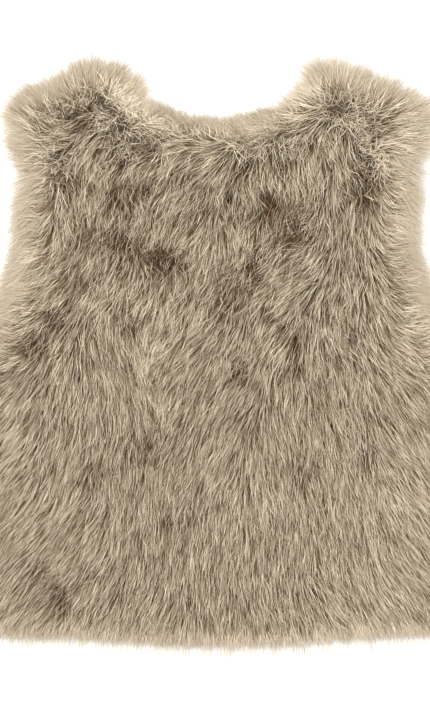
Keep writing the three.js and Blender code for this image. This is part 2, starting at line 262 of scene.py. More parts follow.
def between(values, rows, columns, up, across):
    """Values read between the points of a grid.

    rows and columns hold the indices before and after each place, up and across the share
    of the way from one to the other."""
    low = values[rows[0], columns[0]] * (1 - across) + values[rows[0], columns[1]] * across
    high = values[rows[1], columns[0]] * (1 - across) + values[rows[1], columns[1]] * across
    return low * (1 - up) + high * up


class Panel:
    """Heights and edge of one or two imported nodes, on a grid that can be sampled"""

    SAME = 0.01 * MM  # corners that lie closer together than this are one
    UPRIGHT = 1e-12  # a face that covers less than this, seen from above, stands upright
    SEAM = 0.4 * MM  # edges nearer the centre line than this are the fronts' seam, not rim
    RIM_STEPS = 8  # points along each edge of the rim
    MARGIN = 30 * MM  # how far the grid goes past the panel
    ROUNDS = 40  # how often the distances are evened out before their slope is taken

    def __init__(self, *nodes):
        corners, faces = [], []
        for name in nodes:
            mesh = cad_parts[name].data
            mesh.calc_loop_triangles()
            place = np.zeros(len(mesh.vertices) * 3, np.float32)
            mesh.vertices.foreach_get("co", place)
            corner = np.zeros(len(mesh.loop_triangles) * 3, np.int32)
            mesh.loop_triangles.foreach_get("vertices", corner)
            faces.append(corner.reshape(-1, 3) + sum(len(c) for c in corners))
            corners.append(place.reshape(-1, 3).astype(float))
        self.points = np.concatenate(corners)
        self.faces = np.concatenate(faces)
        keys = np.round(self.points / self.SAME).astype(np.int64)
        _, first, self.joined = np.unique(keys, axis=0, return_index=True, return_inverse=True)
        self.joined = self.joined.ravel()
        self.single = self.points[first]
        a, b, c = (self.points[self.faces[:, i]] for i in range(3))
        self.covers = np.cross(b - a, c - a)[:, 2]
        self.low = self.points.min(0)
        self.high = self.points.max(0)
        self._measure()

    def rim(self, side):
        """Points along the outer edge of the faces that look up (1) or down (-1)"""
        chosen = self.joined[self.faces[self.covers * side > self.UPRIGHT]]
        edges = np.concatenate([chosen[:, [0, 1]], chosen[:, [1, 2]], chosen[:, [2, 0]]])
        edges.sort(axis=1)
        edges, times = np.unique(edges, axis=0, return_counts=True)
        a, b = (self.single[edges[times == 1][:, i]] for i in range(2))
        outer = (np.abs(a[:, 0]) > self.SEAM) | (np.abs(b[:, 0]) > self.SEAM)
        a, b = a[outer], b[outer]
        shares = np.linspace(0, 1, self.RIM_STEPS, endpoint=False)[:, None, None]
        return (a + (b - a) * shares).reshape(-1, 3)

    def _measure(self):
        """Top, under side, distance inside the edge and way out, for each grid point"""
        self.corner = self.low[:2] - self.MARGIN
        size = self.high[:2] - self.low[:2] + 2 * self.MARGIN
        wide, high = (size / GRID).astype(int) + 1
        x = self.corner[0] + GRID * (np.arange(wide) + GRID_SHIFT)
        y = self.corner[1] + GRID * (np.arange(high) + GRID_SHIFT)
        tree = BVHTree.FromPolygons(self.points.tolist(), self.faces.tolist())
        rims = [self.rim(1), self.rim(-1)]
        trees = []
        for rim in rims:
            nearest = KDTree(len(rim))
            for i, place in enumerate(rim):
                nearest.insert((place[0], place[1], 0), i)
            nearest.balance()
            trees.append(nearest)
        shape = (high, wide)
        self.top = np.zeros(shape)
        self.under = np.zeros(shape)
        self.inside = np.zeros(shape)
        up, down = Vector((0, 0, 1)), Vector((0, 0, -1))
        for row in range(high):
            for column in range(wide):
                place = (x[column], y[row])
                hit = tree.ray_cast(Vector((*place, 1)), down)[0]
                _, index, away = trees[0].find((*place, 0))
                if hit is None:
                    self.top[row, column] = rims[0][index][2]
                    _, index, _ = trees[1].find((*place, 0))
                    self.under[row, column] = rims[1][index][2]
                    self.inside[row, column] = -away
                else:
                    self.top[row, column] = hit.z
                    self.under[row, column] = tree.ray_cast(Vector((*place, -1)), up)[0].z
                    self.inside[row, column] = away
        soft = self.inside.copy()
        for _ in range(self.ROUNDS):
            soft[1:-1, 1:-1] = (
                soft[1:-1, 1:-1] * 2 + soft[:-2, 1:-1] + soft[2:, 1:-1]
                + soft[1:-1, :-2] + soft[1:-1, 2:]) / 6
        slope_y, slope_x = np.gradient(soft, GRID)
        length = np.hypot(slope_x, slope_y) + TINY
        self.out_x = -slope_x / length
        self.out_y = -slope_y / length

    def at(self, field, x, y):
        """A field's value at each place, read between the grid points"""
        values = getattr(self, field)
        column = (x - self.corner[0]) / GRID - GRID_SHIFT
        row = (y - self.corner[1]) / GRID - GRID_SHIFT
        last = 1.001  # keeps the next grid point inside the grid
        column = np.clip(column, 0, values.shape[1] - last)
        row = np.clip(row, 0, values.shape[0] - last)
        c, r = column.astype(int), row.astype(int)
        return between(values, (r, r + 1), (c, c + 1), row - r, column - c)

    def outward(self, x, y):
        """The way out of the panel at each place, as x and y shares"""
        return self.at("out_x", x, y), self.at("out_y", x, y)


def pile_reach(x, y):
    """How far the pile stands past the cloth's edge, by how far up the vest it is"""
    arm = smooth(y, SIDE_LEVEL, UNDERARM_LEVEL)
    top = smooth(y, TIP_LEVEL - 15 * MM, TIP_LEVEL + 15 * MM)
    reach = HEM_REACH + (ARM_REACH - HEM_REACH) * arm + (TOP_REACH - ARM_REACH) * top
    neck = smooth(y, 100 * MM, 120 * MM) * (1 - smooth(np.abs(x), 60 * MM, 80 * MM))
    return reach + (NECK_REACH - reach) * neck


def in_cloth(panel, x, y):
    """Distance inside the cloth's cut edge, below 0 past it"""
    return panel.at("inside", x, y) - pile_reach(x, y)


# Fields that steer the pile


def soft_noise(x, y, size, seed):
    """Smooth random values from -1 to 1 that change over about size"""
    cells = 64
    lattice = np.random.default_rng(seed).uniform(-1, 1, (cells, cells))
    u, v = x / size + 31.3, y / size + 17.7
    c, r = np.floor(u).astype(int), np.floor(v).astype(int)
    rows, columns = (r % cells, (r + 1) % cells), (c % cells, (c + 1) % cells)
    return between(lattice, rows, columns, ease(v - r), ease(u - c))


def row_away(row, x, y):
    """Squared distance from a row's place, counted in the row's size"""
    return ((x - row.x * MM) ** 2 + (y - row.y * MM) ** 2) / (row.size * MM) ** 2


def in_oval(row, x, y):
    """1 in the middle of a row's oval, falling softly towards 0 past its edge"""
    angle = radians(row.turn)
    away_x, away_y = x - row.x * MM, y - row.y * MM
    along = (away_x * cos(angle) + away_y * sin(angle)) / (row.long * MM)
    beside = (away_y * cos(angle) - away_x * sin(angle)) / (row.wide * MM)
    return np.exp(-along ** 2 - beside ** 2)


def nap_field(x, y):
    """Which way the pile lies, blended from the chart as x and y shares.

    Where neighbouring rows disagree, at a parting, the pair is shorter than 1."""
    aside_x = WANDER * soft_noise(x, y, 7 * MM, 51)
    aside_y = WANDER * soft_noise(x, y, 7 * MM, 52)
    x, y = x + aside_x, y + aside_y
    sum_x, sum_y, total = np.zeros_like(x), np.zeros_like(x), np.zeros_like(x)
    for row in NAP:
        away = row_away(row, x, y)
        weight = (np.exp(-away) + TINY / (1 + away)) / row.size
        sum_x += weight * sin(radians(row.turn))
        sum_y -= weight * cos(radians(row.turn))
        total += weight
    return sum_x / total, sum_y / total


def nap_ahead(x, y, reach):
    """Which way the pile lies further along a strand, where most of the strand is seen"""
    nap_x, nap_y = nap_field(x, y)
    for share in (0.5, 1.0):
        size = np.hypot(nap_x, nap_y) + TINY
        step = share * reach
        nap_x, nap_y = nap_field(x + step * nap_x / size, y + step * nap_y / size)
    return nap_x, nap_y


def bare_roots(x, y, nap_x, nap_y, behind):
    """1 where the pile behind each place points away, so that nothing covers the roots"""
    size = np.hypot(nap_x, nap_y) + TINY
    back_x, back_y = nap_field(x - behind * nap_x / size, y - behind * nap_y / size)
    same = (back_x * nap_x + back_y * nap_y) / (size * (np.hypot(back_x, back_y) + TINY))
    return 1 - smooth(same, -0.3, 0.85)


def dent_fields(x, y):
    """How deep the partings are at each place, and the way out of them"""
    deep, push_x, push_y = np.zeros_like(x), np.zeros_like(x), np.zeros_like(x)
    for row in DENTS:
        share = row.deep * in_oval(row, x, y)
        deep = np.maximum(deep, share)
        away_x, away_y = x - row.x * MM, y - row.y * MM
        length = np.hypot(away_x, away_y) + MM
        push_x += share * away_x / length
        push_y += share * away_y / length
    return deep, push_x, push_y


def painted_shading_field(x, y):
    """How much painted light, or painted shade where it is below 0, the pile gets at each place"""
    lift = np.zeros_like(x)
    for row in PAINTED_SHADING:
        lift += row.lift * in_oval(row, x, y)
    return lift


def tuft_field(x, y):
    """Share by which the fringe is longer at each place"""
    more = np.zeros_like(x)
    for row in TUFTS:
        more += row.more * np.exp(-row_away(row, x, y))
    return more


def way_out(panel, x, y, turn):
    """Distance from each place to the panel's rim, going the way that turn points"""
    step, most = 1.5 * MM, 34
    reach = np.zeros_like(x)
    going = np.ones(len(x), bool)
    for _ in range(most):
        next_x = x + np.sin(turn) * (reach + step)
        next_y = y - np.cos(turn) * (reach + step)
        going &= panel.at("inside", next_x, next_y) > 0
        reach[going] += step
    return reach


def scatter(rng, panel, spacing):
    """Jittered grid of places in a panel's box, each row shifted by half a step"""
    row_step, jitter = 0.866, 0.42
    low, high = panel.low, panel.high
    columns = int((high[0] - low[0]) / spacing) + 1
    rows = int((high[1] - low[1]) / (spacing * row_step)) + 1
    c, r = np.meshgrid(np.arange(columns), np.arange(rows))
    x = low[0] + spacing * (c + 0.5 * (r % 2) + rng.uniform(-jitter, jitter, c.shape))
    y = low[1] + spacing * row_step * (r + rng.uniform(-jitter, jitter, c.shape))
    return x.ravel(), y.ravel()


def nearest_lock(x, y, lock_x, lock_y, size):
    """For each place, the index of the lock whose middle is nearest"""
    order = {}
    column, row = np.floor(lock_x / size).astype(int), np.floor(lock_y / size).astype(int)
    for index, key in enumerate(zip(column.tolist(), row.tolist())):
        order.setdefault(key, []).append(index)
    most = max(len(v) for v in order.values())
    low_c, low_r = column.min() - 2, row.min() - 2
    table = np.full((row.max() - low_r + 3, column.max() - low_c + 3, most), -1)
    for (c, r), members in order.items():
        table[r - low_r, c - low_c, :len(members)] = members
    c = np.clip(np.floor(x / size).astype(int) - low_c, 1, table.shape[1] - 2)
    r = np.clip(np.floor(y / size).astype(int) - low_r, 1, table.shape[0] - 2)
    best, chosen = np.full(x.shape, np.inf), np.zeros(x.shape, int)
    for step_r in (-1, 0, 1):
        for step_c in (-1, 0, 1):
            for slot in range(most):
                index = table[r + step_r, c + step_c, slot]
                away = (x - lock_x[index]) ** 2 + (y - lock_y[index]) ** 2
                away[index < 0] = np.inf
                closer = away < best
                best[closer] = away[closer]
                chosen[closer] = index[closer]
    return chosen


class Locks:
    """Middles of the locks, scattered over a panel, and which lock each root is in"""

    def __init__(self, rng, panel, size, root_x, root_y):
        self.x, self.y = scatter(rng, panel, size)
        self.count = len(self.x)
        self.root_x, self.root_y = root_x, root_y
        self.of_root = nearest_lock(root_x, root_y, self.x, self.y, size)

    def spread(self, values):
        """Each root's value, out of one value for each lock"""
        return values[self.of_root]

    def pull(self, gather):
        """How far each strand's tip moves towards the middle of its lock"""
        away_x = self.spread(self.x) - self.root_x
        away_y = self.spread(self.y) - self.root_y
        return away_x * gather, away_y * gather


# Strands

# Share of the length spent going along, and of the height reached, at each joint of a
# strand from root to tip
ALONG = np.array([0.0, 0.15, 0.44, 0.80])
CLIMB = np.array([0.0, 0.55, 0.88, 1.0])
FAN_ALONG = np.array([0.0, 0.33, 0.66, 0.98])
FAN_CLIMB = np.array([0.0, 0.50, 0.85, 1.0])
PRESSED_ALONG = np.array([0.0, 0.45, 1.0])
PRESSED_CLIMB = np.array([0.0, 0.85, 1.0])


def strands(root_x, root_y, turn, bend, length, along, low, rise, panel, pull=None):
    """Joints of each strand, as an array of strands by joints by x, y and z.

    turn is the way it points, in radians from straight down the back, bend how much it
    turns by its tip. low and rise are shares of the panel's thickness: where it starts
    and how much it climbs. pull moves each joint sideways, to its lock."""
    joints = len(along[0])
    points = np.zeros((len(root_x), joints, 3))
    x, y = root_x.copy(), root_y.copy()
    points[:, 0, 0] = x
    points[:, 0, 1] = y
    for k in range(1, joints):
        step = length * (along[0][k] - along[0][k - 1])
        way = turn + bend * (k - 0.5) / (joints - 1)
        x = x + step * np.sin(way)
        y = y - step * np.cos(way)
        points[:, k, 0] = x
        points[:, k, 1] = y
    if pull is not None:
        gathered = np.linspace(0, 1, joints) ** 0.9
        points[:, :, 0] += pull[0][:, None] * gathered
        points[:, :, 1] += pull[1][:, None] * gathered
    for k in range(joints):
        px, py = points[:, k, 0], points[:, k, 1]
        under, top = panel.at("under", px, py), panel.at("top", px, py)
        points[:, k, 2] = under + (top - under) * (low + rise * along[1][k])
    return points


def unit(ways):
    """Ways of length 1, out of ways of any length but 0"""
    least = 1e-9
    return ways / (np.linalg.norm(ways, axis=2, keepdims=True) + least)


def ribbon_mesh(name, points, width, shade, tone, rng, roll=0.6, taper=3):
    """One mesh of thin tapering ribbons, a strand each, with a UV map of shade and tone.

    shade runs from dark to light across the UV map, tone from root to tip up it. A strand
    narrows evenly where taper is 1, and later towards its tip where it is higher."""
    count, joints = points.shape[:2]
    way = unit(np.gradient(points, axis=1))
    flat = unit(np.stack([-way[..., 1], way[..., 0], np.zeros(way.shape[:2])], axis=2))
    over = np.cross(way, flat)
    turn = rng.normal(0, roll, count)[:, None, None]
    side = flat * np.cos(turn) + over * np.sin(turn)
    narrows = 1 - np.linspace(0, 1, joints) ** taper
    half = 0.5 * width[:, None, None] * narrows[None, :, None]
    per = 2 * joints - 1
    left, right = slice(0, per - 1, 2), slice(1, per - 1, 2)
    place = np.zeros((count, per, 3), np.float32)
    place[:, left] = (points - side * half)[:, :-1]
    place[:, right] = (points + side * half)[:, :-1]
    place[:, -1] = points[:, -1]
    rim, apart = 0.02, 0.012  # kept free at the map's sides, and half a strand's width on it
    map_u = np.clip(shade[:, None] + np.zeros(per), rim, 1 - rim).astype(np.float32)
    map_u[:, left] -= apart
    map_u[:, right] += apart
    level = tone[0][:, None] + (tone[1] - tone[0])[:, None] * np.linspace(0, 1, joints)
    map_v = np.zeros((count, per), np.float32)
    map_v[:, left] = level[:, :-1]
    map_v[:, right] = level[:, :-1]
    map_v[:, -1] = level[:, -1]
    quads = joints - 2
    loops = []
    for k in range(quads):
        loops += [2 * k, 2 * k + 1, 2 * k + 3, 2 * k + 2]
    loops += [2 * quads, 2 * quads + 1, 2 * quads + 2]
    corner = (np.arange(count)[:, None] * per + np.array(loops)).ravel()
    sizes = np.tile([4] * quads + [3], count)
    mesh = bpy.data.meshes.new(name)
    mesh.vertices.add(count * per)
    mesh.vertices.foreach_set("co", place.ravel())
    mesh.loops.add(len(corner))
    mesh.loops.foreach_set("vertex_index", corner.astype(np.int32))
    mesh.polygons.add(len(sizes))
    starts = np.concatenate([[0], np.cumsum(sizes)[:-1]])
    mesh.polygons.foreach_set("loop_start", starts.astype(np.int32))
    mesh.polygons.foreach_set("use_smooth", np.ones(len(sizes), bool))
    layer = mesh.uv_layers.new(name="Pile")
    uv = np.stack([map_u.ravel()[corner], map_v.ravel()[corner]], axis=1)
    layer.data.foreach_set("uv", uv.astype(np.float32).ravel())
    mesh.update(calc_edges=True)
    piece = bpy.data.objects.new(name, mesh)
    bpy.context.scene.collection.objects.link(piece)
    return piece


def put_on(piece, material):
    """Give a piece its material, and tie it to the frame's root"""
    piece.data.materials.clear()
    piece.data.materials.append(material)
    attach(piece, "root")
    return piece


# Materials


def new_material(name):
    """A material, its nodes and its shader"""
    material = bpy.data.materials.new(name)
    material.use_nodes = True
    return material, material.node_tree, material.node_tree.nodes["Principled BSDF"]


def new_node(tree, kind, **inputs):
    """A node with some of its inputs set"""
    node = tree.nodes.new("ShaderNode" + kind)
    for name, value in inputs.items():
        node.inputs[name].default_value = value
    return node


def matt(shader, roughness, gloss=0.5):
    """Make a shader's surface rough, and its gloss faint where gloss is below 0.5"""
    shader.inputs["Roughness"].default_value = roughness
    shader.inputs["Specular IOR Level"].default_value = gloss


def pile_material(name, pile):
    """Fibre that is dark at the root and pale at the tip, with lighter and darker strands"""
    material, tree, shader = new_material(name)
    link = tree.links.new
    uv = new_node(tree, "UVMap")
    uv.uv_map = "Pile"
    split = new_node(tree, "SeparateXYZ")
    ramp = new_node(tree, "ValToRGB")
    ramp.color_ramp.interpolation = "B_SPLINE"
    stops = ramp.color_ramp.elements
    stops[0].color = (*pile.root_colour, 1)
    stops[1].color = (*pile.tip_colour, 1)
    middle = stops.new(0.5)
    middle.color = (*pile.middle_colour, 1)
    strength = new_node(tree, "MapRange")
    strength.data_type = "FLOAT_VECTOR"
    strength.inputs[RANGE_LEAST].default_value = (0.22, 0.13, 0.05)
    strength.inputs[RANGE_MOST].default_value = (1.78, 1.84, 1.88)
    shaded = new_node(tree, "VectorMath")
    shaded.operation = "MULTIPLY"
    link(uv.outputs["UV"], split.inputs["Vector"])
    link(split.outputs["Y"], ramp.inputs["Fac"])
    link(split.outputs["X"], strength.inputs[RANGE_VALUE])
    link(ramp.outputs["Color"], shaded.inputs[0])
    link(strength.outputs[RANGE_RESULT], shaded.inputs[1])
    link(shaded.outputs["Vector"], shader.inputs["Base Color"])
    matt(shader, 0.65, 0.04)
    return material


def backing_material(name, cloth):
    """Fine warp-knitted backing with a slight rib"""
    material, tree, shader = new_material(name)
    link = tree.links.new
    where = new_node(tree, "TexCoord")
    place = new_node(tree, "Mapping", Scale=(1.0, 0.45, 1.0))
    rib = new_node(tree, "TexWave", Scale=330, Distortion=0.6)
    patches = new_node(tree, "TexNoise", Scale=60, Detail=6)
    colours = new_node(tree, "ValToRGB")
    stops = colours.color_ramp.elements
    stops[0].color = (*[0.7 * c for c in cloth.colour], 1)
    stops[1].color = (*[1.25 * c for c in cloth.colour], 1)
    bump = new_node(tree, "Bump", Strength=0.35, Distance=0.3 * MM)
    link(where.outputs["Object"], place.inputs["Vector"])
    link(place.outputs["Vector"], rib.inputs["Vector"])
    link(where.outputs["Object"], patches.inputs["Vector"])
    link(patches.outputs["Fac"], colours.inputs["Fac"])
    link(colours.outputs["Color"], shader.inputs["Base Color"])
    link(rib.outputs["Fac"], bump.inputs["Height"])
    link(bump.outputs["Normal"], shader.inputs["Normal"])
    matt(shader, 0.9)
    return material


def floor_material(colour):
    """Matt card, with hardly any change of shade"""
    material, tree, shader = new_material("studio_floor")
    noise = new_node(tree, "TexNoise", Scale=3)
    shades = new_node(tree, "ValToRGB")
    shades.color_ramp.elements[0].color = (*[0.995 * c for c in colour], 1)
    shades.color_ramp.elements[1].color = (*colour, 1)
    tree.links.new(noise.outputs["Fac"], shades.inputs["Fac"])
    tree.links.new(shades.outputs["Color"], shader.inputs["Base Color"])
    matt(shader, 0.85, 0.1)
    return material


# Panels and materials that the operators share, made when first asked for
shop = {}


def shared(key, make, *given):
    """What is in the shop under a key, made first if it isn't there yet"""
    if key not in shop:
        shop[key] = make(*given)
    return shop[key]


def back():
    """The back's panel"""
    return shared("back", Panel, "back_panel")


def fronts():
    """Both fronts as one panel"""
    return shared("fronts", Panel, "front_left", "front_right")


def grow(name, slot, *strand_looks, **form):
    """A piece of fur in its slot's colours, out of what ribbon_mesh takes"""
    piece = ribbon_mesh(name, *strand_looks, **form)
    material = shared(slot, pile_material, slot, bpy.context.scene.vest_pile)
    return put_on(piece, material)


def deselect():
    for piece in bpy.context.selected_objects:
        piece.select_set(False)


def cloth_shell(name, panel, half, over):
    """A panel's backing: a grid cut to the outline, laid on the solid's form and thickened.

    half keeps one side of the centre line, 0 both. over is 1 for a back, whose backing
    lies at the bottom of its solid, and -1 for a front, whose backing lies at the top."""
    cell = bpy.context.scene.vest_cloth.cell
    seam_gap, sunk = 0.15 * MM, 0.05 * MM  # from the centre line, and from the solid's face
    size = panel.high - panel.low
    middle = (panel.high + panel.low) / 2
    deselect()
    bpy.ops.mesh.primitive_grid_add(
        x_subdivisions=int(size[0] / cell), y_subdivisions=int(size[1] / cell),
        size=1, location=(0, 0, 0))
    piece = bpy.context.object
    piece.name = piece.data.name = name
    bpy.ops.object.mode_set(mode="EDIT")
    bpy.ops.transform.resize(value=(size[0], size[1], 1))
    bpy.ops.transform.translate(value=(middle[0], middle[1], 0))
    bpy.ops.mesh.select_all(action="DESELECT")
    bpy.ops.object.mode_set(mode="OBJECT")
    mesh = piece.data
    place = np.zeros(len(mesh.vertices) * 3, np.float32)
    mesh.vertices.foreach_get("co", place)
    place = place.reshape(-1, 3).astype(float)
    depth = in_cloth(panel, place[:, 0], place[:, 1])
    if half:
        depth = np.where(half * place[:, 0] < -0.6 * cell, -1.0, depth)
    outside = depth < -0.5 * cell
    mesh.vertices.foreach_set("select", outside)
    bpy.ops.object.mode_set(mode="EDIT")
    bpy.ops.mesh.delete(type="VERT")
    bpy.ops.object.mode_set(mode="OBJECT")
    place = place[~outside]
    for _ in range(3):
        depth = in_cloth(panel, place[:, 0], place[:, 1])
        near = np.abs(depth) < 0.62 * cell
        place[near, 0] += depth[near] * panel.at("out_x", place[near, 0], place[near, 1])
        place[near, 1] += depth[near] * panel.at("out_y", place[near, 0], place[near, 1])
    if half:
        centre = half * place[:, 0] < 0.6 * cell
        place[centre, 0] = half * seam_gap
    level = "under" if over > 0 else "top"
    place[:, 2] = panel.at(level, place[:, 0], place[:, 1]) + over * sunk
    mesh.vertices.foreach_set("co", place.astype(np.float32).ravel())
    mesh.update()
    thick = piece.modifiers.new("thickness", "SOLIDIFY")
    thick.thickness = BACKING
    thick.offset = over
    deselect()
    piece.select_set(True)
    bpy.context.view_layer.objects.active = piece
    bpy.ops.object.modifier_apply(modifier=thick.name)
    bpy.ops.object.shade_smooth()
    return piece


class VEST_OT_backing(bpy.types.Operator):
    """Lay the knitted backing of the back and of both fronts"""

    bl_idname = "vest.backing"
    bl_label = "Backing"

    def execute(self, context):
        material = backing_material("knitted_backing", context.scene.vest_cloth)
        for name, panel, half, over, node, slot in (
            ("back_cloth", back(), 0, 1, "back_panel", "back_fur"),
            ("front_left_cloth", fronts(), -1, -1, "front_left", "front_fur"),
            ("front_right_cloth", fronts(), 1, -1, "front_right", "front_fur"),
        ):
            piece = put_on(cloth_shell(name, panel, half, over), material)
            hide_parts(node)
        return {"FINISHED"}


def comb_locks(rng, panel, pile, x, y):
    """Lie, size and shade of each lock of the back, from the charts and from random draws"""
    count = len(x)
    ruffle = 0.5 + 0.5 * smooth(y, -70 * MM, 60 * MM)
    fine = 2 * (1 - ruffle)
    agree = smooth(np.hypot(*nap_field(x, y)), 0.1, 0.92)
    nap_x, nap_y = nap_ahead(x, y, 0.4 * pile.length)
    bare = bare_roots(x, y, nap_x, nap_y, 0.5 * pile.length)
    turn = np.arctan2(nap_x, -nap_y)
    turn += radians(12) * ruffle * soft_noise(x, y, 11 * MM, 1)
    turn += radians(9) * ruffle * soft_noise(x, y, 5 * MM, 2)
    turn += radians(7) * ruffle * rng.normal(0, 1, count)

    # Partings, charted ones and small gaps between the locks, push the pile aside
    seen_x = x + 0.3 * pile.length * np.sin(turn)
    seen_y = y - 0.3 * pile.length * np.cos(turn)
    deep, push_x, push_y = dent_fields(seen_x, seen_y)
    gaps = smooth(soft_noise(x, y, 5.5 * MM, 8), 0.30, 0.85)
    deep = np.maximum(deep, 0.9 * gaps * (ruffle - 0.42) / 0.58)
    way_x = np.sin(turn) + 0.5 * push_x
    way_y = -np.cos(turn) + 0.5 * push_y

    # Near the edge the pile turns outwards
    depth = in_cloth(panel, x, y)
    stands = 1 - smooth(depth, -2 * MM, np.where(y > 120 * MM, 6 * MM, 13 * MM))
    out_x, out_y = panel.outward(x, y)
    way_x = way_x * (1 - stands) + out_x * stands
    way_y = way_y * (1 - stands) + out_y * stands

    # Where the ways disagree, the locks stand up, look shorter and are ruffled
    agree = agree * np.clip(np.hypot(way_x, way_y), 0, 1)
    lies = (0.26 + 0.74 * agree) * (1 - 0.5 * deep)
    turn = np.arctan2(way_x, -way_y)
    turn += radians(35) * np.maximum(1 - lies, 0.8 * bare) * rng.normal(0, 1, count)
    bend = radians(10) * ruffle * rng.normal(0, 1, count)
    bend += radians(20) * ruffle * soft_noise(x, y, 14 * MM, 3)
    height = rng.uniform(0.74, 1.0, count) + 0.10 * soft_noise(x, y, 9 * MM, 4)
    height -= 0.26 * deep
    tip_x = x + 0.8 * pile.length * np.sin(turn)
    tip_y = y - 0.8 * pile.length * np.cos(turn)
    covers = dent_fields(tip_x, tip_y)[0]
    long = lies * (1 - 0.45 * covers) * (1 - 0.4 * bare) * (1 + 0.10 * rng.normal(0, 1, count))

    shade = 0.47 + 0.07 * ruffle * soft_noise(x, y, 14 * MM, 5)
    shade += 0.07 * soft_noise(x, y, 5 * MM, 6)
    # Painted shade: locks in a parting or in a gap between locks are darker
    shade += 0.17 * (1 - 0.5 * fine) * rng.normal(0, 1, count) - 0.50 * deep
    shade += 0.02 * (1 - agree) + 0.03 * bare
    # Painted light and shade from the chart of patches
    shade += painted_shading_field(seen_x, seen_y)
    return {
        "fine": fine, "agree": agree, "bare": bare, "deep": deep, "stands": stands,
        "lies": lies, "turn": turn, "bend": bend, "height": height, "long": long,
        "shade": shade,
    }


def back_strands(rng, panel, pile, locks, own):
    """Joints and ruffle of each strand of the back. own holds what its lock gives it."""
    x, y = locks.root_x, locks.root_y
    count = len(x)
    loose = np.where(rng.uniform(0, 1, count) < 0.2, 3.5 - own.bare, 1.0)
    turn = own.turn + radians(3) * loose * rng.normal(0, 1, count)
    ruffled = np.maximum(1 - own.lies, 0.65 * own.bare)
    turn += radians(65) * ruffled * rng.normal(0, 1, count)
    bend = own.bend + radians(6) * loose * rng.normal(0, 1, count)
    bend += radians(50) * ruffled * rng.normal(0, 1, count)
    length = pile.length * own.long * rng.normal(1, 0.10, count)

    # No strand reaches past the fringe, which is shorter where the chart of tufts says so
    room_turn = turn + 0.5 * bend
    room = way_out(panel, x, y, room_turn)
    shorter = tuft_field(x + np.sin(room_turn) * room, y - np.cos(room_turn) * room)
    room *= (1 + np.minimum(shorter, 0)) / ALONG[-1]
    share = locks.spread(rng.normal(0.93, 0.06, locks.count)) * rng.uniform(0.88, 1.0, count)
    length = np.minimum(length, room * share)

    gather = pile.gather * (1 - 0.4 * own.stands) * rng.uniform(0.6, 1.0, count) / loose
    gather *= (1 - ruffled) * (1 - 0.4 * own.fine)
    rise = np.clip(own.height + rng.normal(0, 0.07, count), 0.35, 1.06) - 0.12
    points = strands(
        x, y, turn, bend, length, (ALONG, CLIMB), 0.12, rise, panel, locks.pull(gather))
    return points, ruffled


class VEST_OT_back_pile(bpy.types.Operator):
    """Grow the combed pile of the back, in four bands from shoulder to hem"""

    bl_idname = "vest.back_pile"
    bl_label = "Back Pile"

    def execute(self, context):
        pile = context.scene.vest_pile
        rng = np.random.default_rng(pile.seed)
        panel = back()
        x, y = scatter(rng, panel, pile.spacing)
        inside = in_cloth(panel, x, y)
        kept = inside > 0.5 * MM
        x, y, inside = x[kept], y[kept], inside[kept]
        count = len(x)
        locks = Locks(rng, panel, pile.lock, x, y)
        looks = comb_locks(rng, panel, pile, locks.x, locks.y)
        own = SimpleNamespace(**{key: locks.spread(look) for key, look in looks.items()})
        points, ruffled = back_strands(rng, panel, pile, locks, own)

        edge = 1 - smooth(inside, 0, 16 * MM)
        spread = 0.24 * rng.normal(0, 1, count)
        spread -= np.where(rng.uniform(0, 1, count) < 0.35, 0.52, -0.28)
        spread = spread * (1.05 - 0.05 * own.fine) * (1 - 0.45 * edge) * (1 + 0.5 * own.deep)
        shade = own.shade + spread
        # Painted light near the edge, more on the right side, which the lamp lights less; painted
        # shade along the top edges, which face the lamp; painted light on the shoulder tops
        shade += edge * np.where(x > 0, 0.13, 0.08)
        shade -= 0.10 * edge * np.clip(panel.at("out_y", x, y), 0, 1)
        shade += 0.11 * edge * smooth(y, 160 * MM, 178 * MM)

        # Near the edge and in bare partings a strand starts above the ramp's dark root
        high = smooth(y, 120 * MM, 150 * MM)
        root = (0.36 + 0.22 * high) * edge + 0.34 * np.maximum(own.bare, 1 - own.agree)
        root = np.clip(root, 0, 0.65)
        tip = rng.uniform(0.70, 1.0, count)
        width = pile.fibre * rng.uniform(0.7, 1.25, count) * (1 - 0.35 * ruffled)
        width *= 1 - 0.15 * own.fine
        top = np.inf
        for part, low in zip(("yoke", "chest", "waist", "skirt"), (*BAND_LEVELS, -np.inf)):
            held = (y <= top) & (y > low)
            tone = (root[held], tip[held])
            name = f"pile_back_{part}"
            grow(name, "back_fur", points[held], width[held], shade[held], tone, rng)
            top = low
        return {"FINISHED"}


def in_part(part, x, y):
    """Whether each place is in a part of the edge: shoulders, left, right or hem"""
    if part == "shoulders":
        return y > TOP_LEVEL
    if part == "hem":
        return y <= HEM_LEVEL
    side = x < 0 if part == "left" else x > 0
    return side & (y <= TOP_LEVEL) & (y > HEM_LEVEL)


